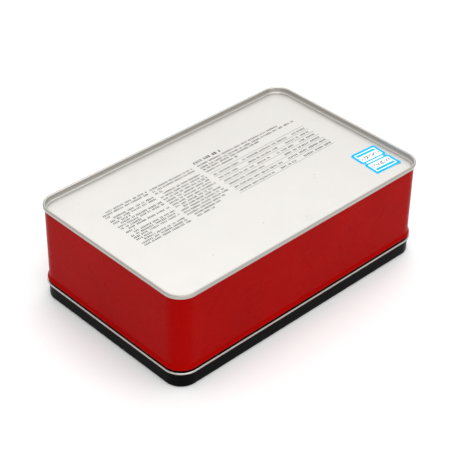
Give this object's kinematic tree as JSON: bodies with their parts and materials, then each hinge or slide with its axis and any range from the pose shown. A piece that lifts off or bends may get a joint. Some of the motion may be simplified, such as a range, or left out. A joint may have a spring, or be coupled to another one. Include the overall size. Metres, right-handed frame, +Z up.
{
  "type": "lithographed tin",
  "caption": "Low rectangular slip-lid tin standing upside down on its lid: black lid, red body wall, and a silver base plate with fine print marks and paper labels.",
  "frame": {"origin": "centre of the lid's outer face, which is the face the tin stands on", "axes": "+Z up, from the lid's outer face towards the base plate; +X along the tin's length; +Y along its width"},
  "size_m": [0.2538, 0.1594, 0.083],
  "materials": {
    "black_lid_lacquer": "satin",
    "red_wall_lacquer": "satin",
    "silver_base_lacquer": "satin",
    "label_paper": "matte"
  },
  "bodies": {
    "lid": {"lid": "black_lid_lacquer"},
    "tin": {"body_wall": "red_wall_lacquer", "base_plate": "silver_base_lacquer", "inner_price_label": "label_paper", "outer_price_label": "label_paper"}
  },
  "joints": [
    {"name": "tin_lift", "type": "slide", "parent": "lid", "child": "tin", "axis": [0, 0, 1], "range_m": [0, 0.12]}
  ]
}
